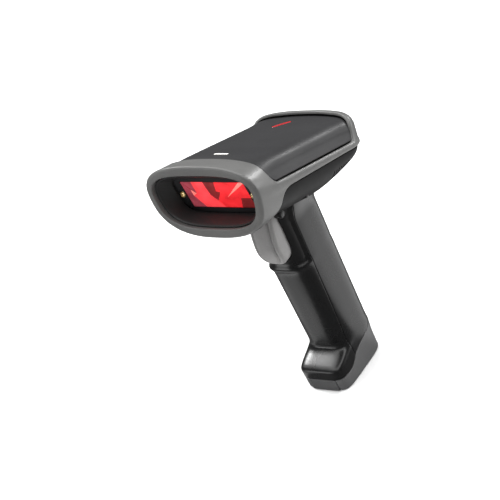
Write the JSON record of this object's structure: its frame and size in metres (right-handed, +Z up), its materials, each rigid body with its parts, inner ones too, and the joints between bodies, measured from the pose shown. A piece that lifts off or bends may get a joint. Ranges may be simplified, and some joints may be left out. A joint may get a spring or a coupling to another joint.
{
  "type": "handheld barcode scanner",
  "caption": "Cordless pistol-grip barcode scanner standing on its foot, with a hooded red exit window, a grey bumper, a pull trigger, a flap over the charging port and a swinging scan mirror.",
  "frame": {"origin": "centre of the handle's flat base face, which the scanner stands on", "axes": "+Z up along the handle, -Y the way the exit window looks, +X the scanner's left side"},
  "size_m": [0.0734, 0.1059, 0.168],
  "materials": {
    "charcoal_cover": "satin charcoal moulding, fine texture",
    "bumper_grey": "matte mid-grey overmoulded bumper",
    "black_shell": "semi-gloss black moulding",
    "cap_grey": "matte grey moulding",
    "flap_grey": "soft grey elastomer",
    "trigger_grey": "satin grey moulding",
    "hood_liner": "matte dark liner",
    "black_plastic": "matte black moulding",
    "red_window": "red filter pane, polished",
    "mirror_glass": "front-surface mirror",
    "steel": "plated steel",
    "brass": "bright brass",
    "copper_wire": "enamelled copper winding",
    "magnet_nickel": "nickel-plated magnet",
    "circuit_board": "green solder resist",
    "chip_black": "moulded epoxy",
    "connector_white": "ivory connector housing",
    "cell_wrap": "blue heat-shrink wrap",
    "wire_sleeve": "flexible black sleeve",
    "red_clear": "translucent red acrylic"
  },
  "bodies": {
    "housing": {"top_cover": "charcoal_cover", "bumper_frame": "bumper_grey", "lower_body": "black_shell", "window_hood": "hood_liner", "engine_chassis": "black_plastic", "engine_lid": "steel", "exit_window": "red_window", "mirror_pin": "steel", "drive_coil": "copper_wire", "coil_yoke": "steel", "collector_mirror": "mirror_glass", "laser_module": "brass", "laser_clamp": "black_plastic", "photodiode": "chip_black", "main_board": "circuit_board", "processor_chip": "chip_black", "radio_module": "steel", "board_socket": "connector_white", "beeper": "chip_black", "status_led": "red_clear", "status_light_pipe": "red_clear", "cover_screw_1": "steel", "cover_screw_2": "steel", "cover_screw_3": "steel", "cover_screw_4": "steel", "engine_screw_left": "brass", "engine_screw_right": "brass", "board_screw_front": "steel", "board_screw_rear": "steel", "neck_screw_left": "steel", "neck_screw_right": "steel", "grip_front_shell": "black_shell", "grip_rear_shell": "black_shell", "base_cap": "cap_grey", "grip_screw": "steel", "base_screw_left": "steel", "base_screw_right": "steel", "port_cover_pin": "steel", "charge_board": "circuit_board", "charge_port": "steel", "battery_cell": "cell_wrap", "battery_cradle": "black_plastic", "battery_contact_lower": "brass", "battery_contact_upper": "brass", "trigger_pin": "steel", "trigger_spring": "steel", "switch_board": "circuit_board", "switch_body": "chip_black", "wiring_loom": "wire_sleeve"},
    "trigger": {"trigger": "trigger_grey"},
    "switch_plunger": {"switch_plunger": "connector_white"},
    "scan_mirror": {"scan_mirror": "mirror_glass", "mirror_magnet": "magnet_nickel"},
    "port_cover": {"port_cover": "flap_grey"}
  },
  "joints": [
    {"name": "trigger_pull", "type": "hinge", "parent": "housing", "child": "trigger", "pos_m": [0, -0.015, 0.1145], "axis": [1, 0, 0], "range_deg": [0, 6], "stiffness_Nm_per_rad": 0.2, "springref_deg": -8.59, "deforming": ["trigger_spring"]},
    {"name": "switch_press", "type": "slide", "parent": "housing", "child": "switch_plunger", "axis": [0, 1, 0], "range_m": [0, 0.0014]},
    {"name": "mirror_swing", "type": "hinge", "parent": "housing", "child": "scan_mirror", "pos_m": [0, -0.02917, 0.14014], "axis": [0, 0.3223, 0.9466], "range_deg": [-10, 10], "stiffness_Nm_per_rad": 0.0002},
    {"name": "port_cover_open", "type": "hinge", "parent": "housing", "child": "port_cover", "pos_m": [0, -0.0254, 0.0069], "axis": [-1, 0, 0], "range_deg": [0, 95]}
  ],
  "couplings": [
    {"joint": "switch_press", "follows": "trigger_pull", "m_per_rad": 0.012}
  ]
}
